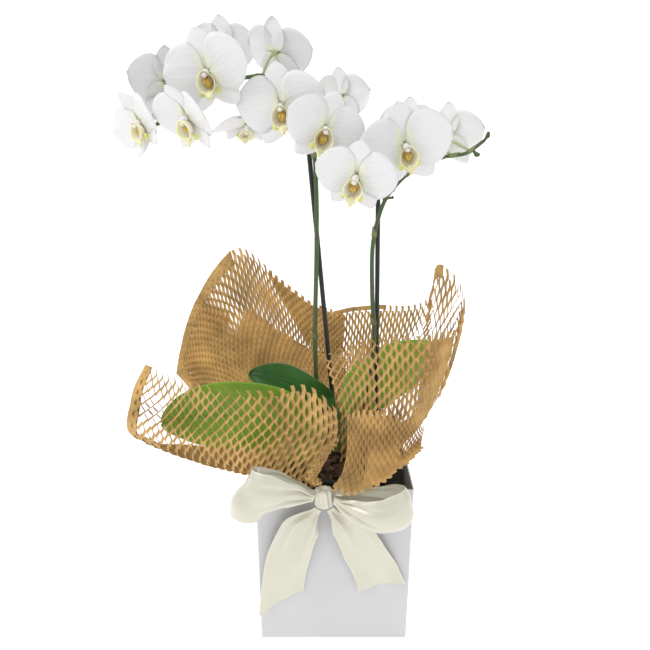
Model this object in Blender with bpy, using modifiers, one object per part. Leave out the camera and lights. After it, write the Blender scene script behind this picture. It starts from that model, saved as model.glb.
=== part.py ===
"""Moth orchid in its nursery pot, wrapped in honeycomb paper and standing in an open white gift box with a satin bow.

Metres, +Z up. The front of the box faces -Y, and the origin is the middle of the box's underside.
"""

import math

import bmesh
import bpy
from mathutils import Matrix, Vector

# Box, riser and pot
BOX_SIDE = 0.150
BOX_HEIGHT = 0.180
CARD = 0.0015
RISER_SIDE = 0.100
RISER_HEIGHT = 0.052
POT_HEIGHT = 0.126
POT_TOP_RADIUS = 0.0600
POT_FOOT_RADIUS = 0.0450
POT_WALL = 0.0012
POT_LIP = 0.0030
BARK_TOP = 0.176
FIT = 0.0004

# Plant
STEM_RADIUS = 0.0024
STEM_TIP_RADIUS = 0.0015
STAKE_RADIUS = 0.0023
PEDICEL_RADIUS = 0.0013
LEAF_THICKNESS = 0.0016
PETAL_THICKNESS = 0.0012
NODE_SWELL = 0.35
CROWN_CENTRE = (0.004, -0.006, 0.204)
CROWN_RADII = (0.0085, 0.0060, 0.0270)

LEFT_SPIKE = (
    (-0.015, 0.006, 0.190), (-0.018, 0.004, 0.262), (-0.019, 0.000, 0.306), (-0.017, 0.000, 0.395),
    (-0.017, 0.000, 0.450), (-0.020, 0.000, 0.487), (-0.032, 0.000, 0.520), (-0.060, 0.002, 0.545),
    (-0.103, 0.002, 0.538), (-0.140, 0.000, 0.520), (-0.162, -0.002, 0.503),
)
RIGHT_SPIKE = (
    (0.024, 0.002, 0.190), (0.035, 0.001, 0.250), (0.040, 0.000, 0.303), (0.037, 0.000, 0.348),
    (0.036, 0.000, 0.395), (0.041, 0.000, 0.425), (0.050, 0.000, 0.446), (0.070, -0.002, 0.467),
    (0.094, -0.006, 0.478), (0.116, -0.008, 0.482), (0.131, -0.010, 0.493),
)
LEFT_NODES = (0.200, 0.480, 0.650)
RIGHT_NODES = (0.240, 0.440, 0.620)
LEFT_STAKE = ((0.0125, 0.0140, 0.085), (-0.0240, 0.0065, 0.487))
RIGHT_STAKE = ((0.0465, 0.0110, 0.150), (0.0410, 0.0120, 0.440))

# Each leaf: centre line from the crown, direction across the blade, half width at its widest, depth of the midrib fold
LEAVES = {
    "leaf_left_large": (
        ((-0.008, -0.016, 0.200), (-0.028, -0.019, 0.206), (-0.065, -0.019, 0.224), (-0.104, -0.022, 0.230),
         (-0.143, -0.024, 0.229), (-0.174, -0.024, 0.222)),
        (0.0, 0.15, 0.98), 0.036, 0.004,
    ),
    "leaf_left_small": (
        ((-0.007, -0.006, 0.226), (-0.022, -0.005, 0.242), (-0.052, 0.008, 0.254), (-0.090, 0.022, 0.257)),
        (0.0, 0.10, 1.0), 0.021, 0.003,
    ),
    "leaf_right": (
        ((0.016, 0.007, 0.212), (0.028, 0.022, 0.230), (0.050, 0.031, 0.247), (0.078, 0.034, 0.266),
         (0.108, 0.034, 0.286)),
        (-0.25, 0.12, 0.95), 0.030, 0.004,
    ),
}

# Each flower: centre, yaw (0 faces the front, + to the right), pitch (+ up), roll, half span, cup, place on its spike
FLOWERS = {
    "01": ((-0.009, -0.046, 0.503), 10, -10, -18, 0.034, 0.10, "left", 0.60),
    "02": ((0.006, 0.032, 0.531), 150, 12, 0, 0.029, 0.15, "left", 0.63),
    "03": ((-0.045, -0.030, 0.521), -8, -10, 8, 0.038, 0.10, "left", 0.72),
    "04": ((-0.053, 0.031, 0.568), 150, 28, 10, 0.034, 0.25, "left", 0.71),
    "05": ((-0.080, 0.012, 0.507), 8, -70, -6, 0.031, 0.35, "left", 0.80),
    "06": ((-0.105, -0.030, 0.547), -12, -12, 12, 0.038, 0.12, "left", 0.86),
    "07": ((-0.105, 0.052, 0.574), 182, 8, 0, 0.032, 0.15, "left", 0.83),
    "08": ((-0.119, -0.052, 0.512), -38, -30, 0, 0.032, 0.30, "left", 0.90),
    "09": ((-0.153, 0.024, 0.543), -140, 12, 0, 0.034, 0.25, "left", 0.95),
    "10": ((-0.166, -0.020, 0.508), -38, -12, 22, 0.031, 0.35, "left", 0.93),
    "11": ((0.057, -0.044, 0.490), 5, -14, 14, 0.040, 0.10, "right", 0.78),
    "12": ((0.016, -0.067, 0.467), -14, -22, -12, 0.034, 0.12, "right", 0.68),
    "13": ((0.106, 0.022, 0.497), 140, 12, 0, 0.033, 0.25, "right", 0.92),
    "14": ((0.074, 0.056, 0.507), 180, -14, 0, 0.030, 0.20, "right", 0.84),
}
# Lobes of a flower's outline: direction, half angle, reach as a share of the half span
LOBES = ((12, 62, 1.0), (168, 62, 1.0), (90, 34, 0.95), (-58, 34, 0.92), (-122, 34, 0.92))
FLOWER_WAIST = 0.40

# Honeycomb paper: each sheet is lofted through rows that run from its foot in the box up to its free edge
PAPER = 0.0016
SHEETS = {
    "paper_back_left": (
        ((-0.070, -0.002, 0.160), (-0.070, 0.022, 0.160), (-0.068, 0.048, 0.160), (-0.058, 0.066, 0.160),
         (-0.036, 0.069, 0.160), (-0.012, 0.069, 0.160), (0.012, 0.069, 0.160)),
        ((-0.071, 0.000, 0.188), (-0.071, 0.024, 0.188), (-0.069, 0.050, 0.190), (-0.059, 0.068, 0.190),
         (-0.037, 0.070, 0.190), (-0.012, 0.070, 0.190), (0.013, 0.070, 0.190)),
        ((-0.128, 0.016, 0.214), (-0.126, 0.044, 0.236), (-0.108, 0.068, 0.254), (-0.083, 0.083, 0.260),
         (-0.050, 0.088, 0.250), (-0.020, 0.090, 0.244), (0.015, 0.092, 0.240)),
        ((-0.171, 0.038, 0.250), (-0.164, 0.062, 0.292), (-0.144, 0.088, 0.338), (-0.107, 0.105, 0.376),
         (-0.067, 0.111, 0.343), (-0.026, 0.114, 0.311), (0.015, 0.114, 0.296)),
    ),
    "paper_back_right": (
        ((-0.005, 0.0718, 0.160), (0.020, 0.0716, 0.160), (0.040, 0.070, 0.160), (0.056, 0.067, 0.160),
         (0.066, 0.058, 0.160), (0.070, 0.042, 0.160), (0.071, 0.026, 0.160), (0.071, 0.010, 0.160),
         (0.071, -0.006, 0.160)),
        ((-0.005, 0.073, 0.190), (0.021, 0.073, 0.190), (0.042, 0.072, 0.190), (0.059, 0.068, 0.190),
         (0.068, 0.059, 0.190), (0.071, 0.044, 0.190), (0.072, 0.028, 0.190), (0.072, 0.012, 0.188),
         (0.072, -0.004, 0.187)),
        ((-0.004, 0.097, 0.242), (0.024, 0.098, 0.246), (0.052, 0.098, 0.248), (0.080, 0.092, 0.250),
         (0.098, 0.082, 0.256), (0.108, 0.072, 0.268), (0.120, 0.056, 0.266), (0.122, 0.036, 0.252),
         (0.112, 0.018, 0.232)),
        ((-0.003, 0.120, 0.295), (0.028, 0.121, 0.301), (0.060, 0.120, 0.305), (0.092, 0.114, 0.306),
         (0.112, 0.106, 0.318), (0.119, 0.100, 0.357), (0.139, 0.080, 0.347), (0.143, 0.056, 0.325),
         (0.132, 0.034, 0.288)),
    ),
    "paper_front_left": (
        ((-0.071, -0.014, 0.160), (-0.071, -0.036, 0.160), (-0.068, -0.056, 0.160), (-0.056, -0.068, 0.160),
         (-0.034, -0.071, 0.160), (-0.010, -0.071, 0.160)),
        ((-0.073, -0.016, 0.188), (-0.073, -0.038, 0.188), (-0.070, -0.059, 0.188), (-0.058, -0.071, 0.188),
         (-0.035, -0.072, 0.188), (-0.010, -0.072, 0.188)),
        ((-0.194, -0.030, 0.208), (-0.150, -0.052, 0.203), (-0.106, -0.072, 0.204), (-0.073, -0.083, 0.204),
         (-0.042, -0.083, 0.200), (-0.013, -0.079, 0.198)),
        ((-0.200, -0.026, 0.250), (-0.156, -0.046, 0.240), (-0.104, -0.066, 0.241), (-0.064, -0.075, 0.240),
         (-0.024, -0.070, 0.238), (0.004, -0.064, 0.228)),
        ((-0.184, -0.020, 0.285), (-0.152, -0.036, 0.280), (-0.104, -0.055, 0.277), (-0.064, -0.060, 0.276),
         (-0.024, -0.055, 0.279), (0.004, -0.058, 0.254)),
    ),
    "paper_front_right": (
        ((0.004, -0.042, 0.190), (0.022, -0.043, 0.190), (0.044, -0.040, 0.190), (0.060, -0.030, 0.190),
         (0.070, -0.012, 0.192)),
        ((0.004, -0.046, 0.240), (0.024, -0.049, 0.240), (0.052, -0.046, 0.238), (0.078, -0.034, 0.232),
         (0.094, -0.010, 0.220)),
        ((-0.005, -0.044, 0.275), (0.019, -0.048, 0.281), (0.052, -0.046, 0.280), (0.084, -0.034, 0.275),
         (0.113, -0.002, 0.265)),
        ((-0.013, -0.036, 0.298), (0.011, -0.040, 0.313), (0.047, -0.038, 0.320), (0.087, -0.026, 0.319),
         (0.125, 0.006, 0.314)),
    ),
    "paper_cone": (
        ((0.010, -0.060, 0.250), (0.030, -0.060, 0.256), (0.052, -0.058, 0.251), (0.072, -0.055, 0.245),
         (0.087, -0.050, 0.232)),
        ((0.011, -0.063, 0.224), (0.030, -0.063, 0.222), (0.051, -0.061, 0.222), (0.070, -0.058, 0.223),
         (0.085, -0.053, 0.225)),
        ((0.006, -0.080, 0.203), (0.028, -0.080, 0.200), (0.048, -0.078, 0.203), (0.065, -0.070, 0.210),
         (0.083, -0.062, 0.220)),
        ((-0.006, -0.104, 0.200), (0.016, -0.108, 0.199), (0.040, -0.104, 0.206), (0.060, -0.093, 0.214),
         (0.084, -0.072, 0.225)),
    ),
    "paper_curl": (
        ((0.006, -0.072, 0.238), (-0.009, -0.078, 0.230), (-0.022, -0.089, 0.216), (-0.027, -0.096, 0.205),
         (-0.016, -0.103, 0.201)),
        ((0.001, -0.070, 0.222), (-0.006, -0.077, 0.218), (-0.012, -0.085, 0.210), (-0.016, -0.091, 0.203),
         (-0.010, -0.096, 0.201)),
    ),
}

# Satin ribbon: each piece is a band along a route, with its half width at each point and the direction across it
RIBBON = 0.0012
KNOT_CENTRE = (-0.010, -0.0895, 0.182)
KNOT_SIZE = (0.012, 0.012, 0.019)
BANDS = {
    "ribbon_loop_left": (
        ((-0.0185, -0.095, 0.184), (-0.040, -0.107, 0.193), (-0.065, -0.112, 0.195), (-0.083, -0.109, 0.192),
         (-0.089, -0.101, 0.190), (-0.083, -0.094, 0.191), (-0.060, -0.092, 0.191), (-0.036, -0.0915, 0.188),
         (-0.0185, -0.090, 0.184)),
        (0.004, 0.014, 0.021, 0.023, 0.022, 0.020, 0.016, 0.010, 0.004),
        (0.50, 0.0, 0.86),
    ),
    "ribbon_loop_right": (
        ((-0.0015, -0.095, 0.182), (0.018, -0.106, 0.178), (0.040, -0.111, 0.176), (0.057, -0.108, 0.179),
         (0.064, -0.100, 0.180), (0.058, -0.091, 0.179), (0.038, -0.089, 0.178), (0.016, -0.089, 0.180),
         (-0.0015, -0.089, 0.182)),
        (0.004, 0.013, 0.018, 0.021, 0.021, 0.018, 0.014, 0.010, 0.004),
        (-0.10, 0.0, 1.0),
    ),
    "ribbon_tail_left": (
        ((-0.0155, -0.090, 0.1695), (-0.033, -0.088, 0.143), (-0.045, -0.083, 0.105), (-0.051, -0.080, 0.075),
         (-0.054, -0.080, 0.047)),
        (0.004, 0.018, 0.019, 0.019, 0.019),
        (0.95, 0.0, 0.35),
    ),
    "ribbon_tail_right": (
        ((-0.0045, -0.090, 0.1695), (0.015, -0.088, 0.146), (0.031, -0.083, 0.110), (0.042, -0.080, 0.088),
         (0.048, -0.079, 0.072)),
        (0.004, 0.017, 0.019, 0.020, 0.021),
        (0.95, 0.0, -0.10),
    ),
}
PAD_SIZE = (0.012, 0.0072, 0.014)
CLIP_SIZE = (0.008, 0.0024, 0.0018)

COLOURS = {
    "white card": ((0.86, 0.86, 0.87), 0.35),
    "foam": ((0.75, 0.75, 0.72), 0.9),
    "black plastic": ((0.02, 0.02, 0.02), 0.45),
    "bark": ((0.10, 0.055, 0.03), 0.95),
    "kraft paper": ((0.52, 0.33, 0.13), 0.8),
    "ivory satin": ((0.86, 0.83, 0.71), 0.35),
    "green leaf": ((0.05, 0.20, 0.02), 0.35),
    "green stem": ((0.05, 0.14, 0.03), 0.45),
    "white petal": ((0.90, 0.90, 0.90), 0.5),
    "yellow lip": ((0.88, 0.80, 0.40), 0.5),
}


def catmull(points, t):
    """Point at share t of a smooth line through the points."""
    last = len(points) - 1
    place = min(max(t, 0.0), 1.0) * last
    i = min(int(place), last - 1)
    f = place - i
    p1, p2 = Vector(points[i]), Vector(points[i + 1])
    p0 = Vector(points[i - 1]) if i > 0 else 2 * p1 - p2
    p3 = Vector(points[i + 2]) if i + 2 <= last else 2 * p2 - p1
    return 0.5 * (2 * p1 + (p2 - p0) * f + (2 * p0 - 5 * p1 + 4 * p2 - p3) * f**2 + (3 * (p1 - p2) + p3 - p0) * f**3)


def value_at(values, t):
    """Number at share t along evenly spaced values."""
    last = len(values) - 1
    place = min(max(t, 0.0), 1.0) * last
    i = min(int(place), last - 1)
    return values[i] + (values[i + 1] - values[i]) * (place - i)


def tangent(points, t):
    return (catmull(points, t + 0.01) - catmull(points, t - 0.01)).normalized()


def material(name):
    found = bpy.data.materials.get(name)
    if found:
        return found
    colour, roughness = COLOURS[name]
    new = bpy.data.materials.new(name)
    new.use_nodes = True
    shader = new.node_tree.nodes["Principled BSDF"]
    shader.inputs["Base Color"].default_value = (*colour, 1.0)
    shader.inputs["Roughness"].default_value = roughness
    shader.inputs["Metallic"].default_value = 0.0
    return new


def keep(bm, name, colour, collection):
    """Turns a finished bmesh into a named object with its material."""
    mesh = bpy.data.meshes.new(name)
    bm.to_mesh(mesh)
    bm.free()
    mesh.materials.append(material(colour))
    made = bpy.data.objects.new(name, mesh)
    collection.objects.link(made)
    return made


def grid(columns, rows, place):
    """Grid of columns by rows faces, each point put at place(u, v) with u and v from 0 to 1."""
    bm = bmesh.new()
    bmesh.ops.create_grid(bm, x_segments=columns, y_segments=rows, size=0.5)
    for vertex in bm.verts:
        vertex.co = place(vertex.co.x + 0.5, vertex.co.y + 0.5)
    return bm


def closed(bm):
    """Welds the seam and the ends of a wrapped grid, and turns its faces out."""
    bmesh.ops.remove_doubles(bm, verts=bm.verts, dist=1e-6)
    bmesh.ops.holes_fill(bm, edges=[e for e in bm.edges if e.is_boundary])
    bmesh.ops.recalc_face_normals(bm, faces=bm.faces)
    return bm


def thicken(made, thickness, offset=0.0):
    solid = made.modifiers.new("Thickness", "SOLIDIFY")
    solid.thickness = thickness
    solid.offset = offset


def block(name, centre, size, colour, collection):
    bm = bmesh.new()
    bmesh.ops.create_cube(bm, size=1.0, matrix=Matrix.Translation(centre) @ Matrix.Diagonal((*size, 1.0)))
    return keep(bm, name, colour, collection)


def ball(name, centre, radii, turn, colour, collection):
    bm = bmesh.new()
    place = Matrix.Translation(centre) @ turn @ Matrix.Diagonal((*radii, 1.0))
    bmesh.ops.create_icosphere(bm, subdivisions=2, radius=1.0, matrix=place)
    return keep(bm, name, colour, collection)


def lathe(name, outline, segments, colour, collection):
    """Turns an outline of (radius, height) points around the Z axis; both ends lie on the axis."""
    bm = grid(
        segments, len(outline) - 1,
        lambda u, v: Matrix.Rotation(math.tau * u, 3, "Z")
        @ Vector((outline[round(v * (len(outline) - 1))][0], 0.0, outline[round(v * (len(outline) - 1))][1])),
    )
    return keep(closed(bm), name, colour, collection)


def tube(name, points, radius_at, sides, steps, colour, collection):
    """Round rod along a smooth route."""
    def place(u, v):
        along = tangent(points, v)
        side = along.cross(Vector((0.0, 1.0, 0.03))).normalized()
        around = Matrix.Rotation(math.tau * u, 3, along) @ side
        return catmull(points, v) + around * radius_at(v)

    return keep(closed(grid(sides, steps, place)), name, colour, collection)


def loft(rows, u, v):
    """Point of a sheet: u runs along the rows, v from the first row to the last."""
    return catmull([catmull(row, u) for row in rows], v)


def leaf(name, collection):
    """Strap-shaped leaf, folded a little along its midrib and drawn in at both ends."""
    points, across, half_width, fold = LEAVES[name]

    def place(u, v):
        along = tangent(points, v)
        side = Vector(across)
        side = (side - along * side.dot(along)).normalized()
        share = 2.0 * u - 1.0
        width = half_width * (0.28 + 0.72 * math.sin(math.pi * min(1.0, 0.12 + 0.75 * v)) ** 0.8)
        width *= math.sqrt(max(0.02, 1.0 - max(0.0, (v - 0.62) / 0.38) ** 2))
        return catmull(points, v) + side * width * share + along.cross(side) * fold * (1.0 - share**2)

    made = keep(grid(4, 12, place), name, "green leaf", collection)
    thicken(made, LEAF_THICKNESS)


def facing(yaw, pitch, roll):
    """Turn from a flower's own axes, +Z out of its face and +Y up its dorsal sepal, to the plant's."""
    turn = Matrix.Rotation(math.radians(yaw), 3, "Z") @ Matrix.Rotation(math.radians(90 - pitch), 3, "X")
    return turn @ Matrix.Rotation(math.radians(roll), 3, "Z")


def lobe_reach(angle):
    """Outline of the five petals and sepals as a share of the half span, by direction in degrees."""
    reach = FLOWER_WAIST
    for centre, half_angle, length in LOBES:
        away = abs((angle - centre + 180.0) % 360.0 - 180.0) / half_angle
        if away < 1.0:
            reach = max(reach, length * math.cos(away * math.pi / 2) ** 0.4)
    return reach


def flower(number, collection):
    """Petals and sepals as one cupped star, going over into the stalk that holds it to the spike."""
    centre, yaw, pitch, roll, half_span, cup, spike, share = FLOWERS[number]
    route = LEFT_SPIKE if spike == "left" else RIGHT_SPIKE
    turn = facing(yaw, pitch, roll)
    middle = Vector(centre)
    back = turn @ Vector((0.0, 0.0, -1.0))
    joint = catmull(route, share)
    clearance = STEM_RADIUS * (1.0 + NODE_SWELL) + PEDICEL_RADIUS + 0.0006
    elbow = middle + back * 0.011
    end = joint + (elbow - joint).normalized() * clearance
    stalk = (middle + back * 0.004, elbow, elbow.lerp(end, 0.5), end)
    discs = ((0.0, 1), (0.5, 1), (1.0, 1), (1.0, -1), (0.5, -1))
    stalk_rings = 4
    last = len(discs) + stalk_rings

    def place(u, v):
        ring = round(v * last)
        angle = 360.0 * u
        direction = Vector((math.cos(math.radians(angle)), math.sin(math.radians(angle)), 0.0))
        if ring < len(discs):
            share_out, side = discs[ring]
            radius = half_span * lobe_reach(angle) * share_out
            lift = cup * radius**2 / half_span + side * PETAL_THICKNESS / 2
            return middle + turn @ (direction * radius + Vector((0.0, 0.0, lift)))
        step = ring - len(discs)
        if step == stalk_rings:
            return stalk[-1].copy()
        along = tangent(stalk, step / (stalk_rings - 1))
        out = turn @ direction
        out = (out - along * out.dot(along)).normalized()
        return catmull(stalk, step / (stalk_rings - 1)) + out * PEDICEL_RADIUS

    bm = grid(24, last, place)
    keep(closed(bm), f"flower_{number}", "white petal", collection)
    lip_place = middle + turn @ Vector((0.0, -0.004, 0.0095 + cup * 0.003))
    lip_radii = (0.0075, 0.0095, 0.0060)
    ball(f"lip_{number}", lip_place, lip_radii, turn.to_4x4(), "yellow lip", collection)


def band(name, collection):
    """Ribbon along a route, widening away from the knot."""
    points, half_widths, across = BANDS[name]

    def place(u, v):
        along = tangent(points, u)
        side = Vector(across)
        side = (side - along * side.dot(along)).normalized()
        return catmull(points, u) + side * value_at(half_widths, u) * (2.0 * v - 1.0)

    steps = 2 * (len(points) - 1)
    made = keep(grid(steps, 2, place), name, "ivory satin", collection)
    thicken(made, RIBBON)


def gift_box(collection):
    bm = bmesh.new()
    place = Matrix.Translation((0.0, 0.0, BOX_HEIGHT / 2)) @ Matrix.Diagonal((BOX_SIDE, BOX_SIDE, BOX_HEIGHT, 1.0))
    bmesh.ops.create_cube(bm, size=1.0, matrix=place)
    bm.faces.ensure_lookup_table()
    lid = [f for f in bm.faces if f.normal.z > 0.5]
    bmesh.ops.delete(bm, geom=lid, context="FACES_ONLY")
    upright = [e for e in bm.edges if abs(e.verts[0].co.z - e.verts[1].co.z) > 0.01]
    bmesh.ops.bevel(bm, geom=upright, offset=0.002, segments=2, affect="EDGES", profile=0.5)
    made = keep(bm, "gift_box", "white card", collection)
    thicken(made, CARD, -1.0)


def pot_riser(collection):
    """Folded card tray, upside down, that lifts the pot so that its rim is level with the box's."""
    bm = bmesh.new()
    place = Matrix.Translation((0.0, 0.0, CARD + FIT + RISER_HEIGHT / 2))
    size = Matrix.Diagonal((RISER_SIDE, RISER_SIDE, RISER_HEIGHT, 1.0))
    bmesh.ops.create_cube(bm, size=1.0, matrix=place @ size)
    underside = [f for f in bm.faces if f.normal.z < -0.5]
    bmesh.ops.delete(bm, geom=underside, context="FACES_ONLY")
    made = keep(bm, "pot_riser", "white card", collection)
    thicken(made, CARD, -1.0)


def pot_outline():
    """Thin-walled cup with a rolled lip, from the axis underneath round to the axis inside."""
    foot = CARD + FIT + RISER_HEIGHT + FIT
    top = foot + POT_HEIGHT
    return (
        (0.0, foot), (POT_FOOT_RADIUS, foot), (POT_TOP_RADIUS, top - 0.006), (POT_TOP_RADIUS + POT_LIP, top - 0.006),
        (POT_TOP_RADIUS + POT_LIP, top), (POT_TOP_RADIUS - POT_WALL, top),
        (POT_TOP_RADIUS - POT_WALL, top - 0.006),
        (POT_FOOT_RADIUS - POT_WALL, foot + POT_WALL), (0.0, foot + POT_WALL),
    )


def bark(collection, cutters):
    """Potting bark that fills the pot, with a hole for each stake."""
    floor = CARD + 2 * FIT + RISER_HEIGHT + POT_WALL + FIT
    pot_top = CARD + 2 * FIT + RISER_HEIGHT + POT_HEIGHT - 0.006
    slope = (POT_TOP_RADIUS - POT_FOOT_RADIUS) / (pot_top - floor)
    foot_radius = POT_FOOT_RADIUS - POT_WALL - FIT - 0.0005
    top_radius = foot_radius + slope * (BARK_TOP - 0.003 - floor)
    outline = (
        (0.0, floor), (foot_radius, floor), (top_radius, BARK_TOP - 0.004), (top_radius - 0.006, BARK_TOP - 0.001),
        (0.030, BARK_TOP - 0.002), (0.0, BARK_TOP),
    )
    made = lathe("bark_medium", outline, 32, "bark", collection)
    for number, stake in enumerate((LEFT_STAKE, RIGHT_STAKE), 1):
        low, high = Vector(stake[0]), Vector(stake[1])
        along = (high - low).normalized()
        start = low - along * FIT
        end = low + along * (BARK_TOP + 0.01 - low.z)
        bm = bmesh.new()
        turn = along.to_track_quat("Z", "Y").to_matrix().to_4x4()
        bmesh.ops.create_cone(
            bm, cap_ends=True, segments=12, radius1=STAKE_RADIUS + FIT, radius2=STAKE_RADIUS + FIT,
            depth=(end - start).length, matrix=Matrix.Translation((start + end) / 2) @ turn,
        )
        cutter = keep(bm, f"stake_hole_{number}", "bark", cutters)
        cutter.hide_render = True
        cutter.display_type = "WIRE"
        hole = made.modifiers.new(f"Stake hole {number}", "BOOLEAN")
        hole.operation = "DIFFERENCE"
        hole.solver = "EXACT"
        hole.object = cutter


def spike(name, points, nodes, steps, collection):
    """Flower stem, thinner towards its tip and swollen at each node ring."""
    def radius_at(v):
        swell = sum(NODE_SWELL * math.exp(-((v - node) / 0.012) ** 2) for node in nodes)
        return (STEM_RADIUS + (STEM_TIP_RADIUS - STEM_RADIUS) * v) * (1.0 + swell)

    tube(name, points, radius_at, 8, steps, "green stem", collection)


def stake(name, ends, collection):
    low, high = Vector(ends[0]), Vector(ends[1])
    bm = bmesh.new()
    turn = (high - low).to_track_quat("Z", "Y").to_matrix().to_4x4()
    bmesh.ops.create_cone(
        bm, cap_ends=True, segments=10, radius1=STAKE_RADIUS, radius2=STAKE_RADIUS * 0.9,
        depth=(high - low).length, matrix=Matrix.Translation((low + high) / 2) @ turn,
    )
    keep(bm, name, "black plastic", collection)


def main():
    for old in list(bpy.data.objects):
        bpy.data.objects.remove(old)
    part = bpy.data.collections.new("potted_orchid")
    cutters = bpy.data.collections.new("cutters")
    for collection in (part, cutters):
        bpy.context.scene.collection.children.link(collection)

    gift_box(part)
    pot_riser(part)
    lathe("nursery_pot", pot_outline(), 32, "black plastic", part)
    bark(part, cutters)

    ball("plant_crown", CROWN_CENTRE, CROWN_RADII, Matrix.Identity(4), "green stem", part)
    for name in LEAVES:
        leaf(name, part)
    spike("spike_left", LEFT_SPIKE, LEFT_NODES, 34, part)
    spike("spike_right", RIGHT_SPIKE, RIGHT_NODES, 32, part)
    stake("stake_left", LEFT_STAKE, part)
    stake("stake_right", RIGHT_STAKE, part)
    block("clip_left", (-0.0308, 0.0065, 0.486), CLIP_SIZE, "black plastic", part)
    block("clip_right", (0.0500, 0.0068, 0.441), CLIP_SIZE, "black plastic", part)
    ball("bud_tip", (0.1335, -0.0105, 0.4975), (0.0020, 0.0020, 0.0030), Matrix.Identity(4), "green stem", part)
    ball("bud_side", (0.1245, -0.0130, 0.4810), (0.0030, 0.0020, 0.0020), Matrix.Identity(4), "green stem", part)
    for number in FLOWERS:
        flower(number, part)

    for name, rows in SHEETS.items():
        columns = 2 * (len(rows[0]) - 1)
        bands = max(3, 2 * (len(rows) - 1))
        made = keep(grid(columns, bands, lambda u, v, rows=rows: loft(rows, u, v)), name, "kraft paper", part)
        thicken(made, PAPER)

    block("ribbon_knot", KNOT_CENTRE, KNOT_SIZE, "ivory satin", part)
    pad_place = (KNOT_CENTRE[0], -BOX_SIDE / 2 - FIT - PAD_SIZE[1] / 2, 0.1705)
    block("bow_pad", pad_place, PAD_SIZE, "foam", part)
    for name in BANDS:
        band(name, part)


main()
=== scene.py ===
import math
import random

import bmesh
import bpy
from mathutils import Matrix, Vector, noise


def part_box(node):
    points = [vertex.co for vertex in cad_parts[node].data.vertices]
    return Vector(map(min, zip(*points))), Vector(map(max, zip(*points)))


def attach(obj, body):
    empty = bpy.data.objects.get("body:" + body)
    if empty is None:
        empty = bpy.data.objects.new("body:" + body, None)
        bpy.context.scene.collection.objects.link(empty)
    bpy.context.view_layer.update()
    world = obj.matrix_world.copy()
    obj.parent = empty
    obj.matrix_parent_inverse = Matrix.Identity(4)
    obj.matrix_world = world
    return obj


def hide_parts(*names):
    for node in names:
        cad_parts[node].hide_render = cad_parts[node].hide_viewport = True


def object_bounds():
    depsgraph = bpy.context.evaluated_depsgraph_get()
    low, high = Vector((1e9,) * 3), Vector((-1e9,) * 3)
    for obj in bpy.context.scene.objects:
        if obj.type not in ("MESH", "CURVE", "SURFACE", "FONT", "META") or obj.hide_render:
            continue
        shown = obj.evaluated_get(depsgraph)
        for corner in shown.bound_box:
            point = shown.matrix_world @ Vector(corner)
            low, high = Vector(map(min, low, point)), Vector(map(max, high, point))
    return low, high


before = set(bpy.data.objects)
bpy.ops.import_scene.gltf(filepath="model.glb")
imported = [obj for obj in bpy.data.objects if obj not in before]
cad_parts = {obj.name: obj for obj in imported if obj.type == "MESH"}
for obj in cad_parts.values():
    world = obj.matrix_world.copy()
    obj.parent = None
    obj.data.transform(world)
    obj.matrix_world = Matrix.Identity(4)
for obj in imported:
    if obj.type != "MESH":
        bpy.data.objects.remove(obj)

bl_info = {
    "name": "Potted orchid",
    "version": (1, 0, 0),
    "blender": (4, 5, 0),
    "location": "3D View > Sidebar > Orchid",
    "description": "Moth orchid in honeycomb paper and a white gift box, built round its fixed model",
    "category": "Add Mesh",
}

CAD_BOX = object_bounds()
BODY = "root"

# Routes and places, in metres, the same as the fixed model's
LEFT_SPIKE = (
    (-0.015, 0.006, 0.190), (-0.018, 0.004, 0.262), (-0.019, 0.000, 0.306), (-0.017, 0.000, 0.395),
    (-0.017, 0.000, 0.450), (-0.020, 0.000, 0.487), (-0.032, 0.000, 0.520), (-0.060, 0.002, 0.545),
    (-0.103, 0.002, 0.538), (-0.140, 0.000, 0.520), (-0.162, -0.002, 0.503),
)
RIGHT_SPIKE = (
    (0.024, 0.002, 0.190), (0.035, 0.001, 0.250), (0.040, 0.000, 0.303), (0.037, 0.000, 0.348),
    (0.036, 0.000, 0.395), (0.041, 0.000, 0.425), (0.050, 0.000, 0.446), (0.070, -0.002, 0.467),
    (0.094, -0.006, 0.478), (0.116, -0.008, 0.482), (0.131, -0.010, 0.493),
)
LEFT_NODES = (0.200, 0.480, 0.650)
RIGHT_NODES = (0.240, 0.440, 0.620)
STAKES = {
    "stake_left": ((0.0125, 0.0140, 0.085), (-0.0240, 0.0065, 0.487)),
    "stake_right": ((0.0465, 0.0110, 0.150), (0.0410, 0.0120, 0.440)),
}
LEAVES = {
    "leaf_left_large": (
        ((-0.008, -0.016, 0.200), (-0.028, -0.019, 0.206), (-0.065, -0.019, 0.224), (-0.104, -0.022, 0.230),
         (-0.143, -0.024, 0.229), (-0.174, -0.024, 0.222)),
        (0.0, 0.15, 0.98), 0.036, 0.004, "sunlit leaf",
    ),
    "leaf_left_small": (
        ((-0.007, -0.006, 0.226), (-0.022, -0.005, 0.242), (-0.052, 0.008, 0.254), (-0.090, 0.022, 0.257)),
        (0.0, 0.10, 1.0), 0.021, 0.003, "deep green leaf",
    ),
    "leaf_right": (
        ((0.016, 0.007, 0.212), (0.028, 0.022, 0.230), (0.050, 0.031, 0.247), (0.078, 0.034, 0.266),
         (0.108, 0.034, 0.286)),
        (-0.25, 0.12, 0.95), 0.030, 0.004, "sunlit leaf",
    ),
}
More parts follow.
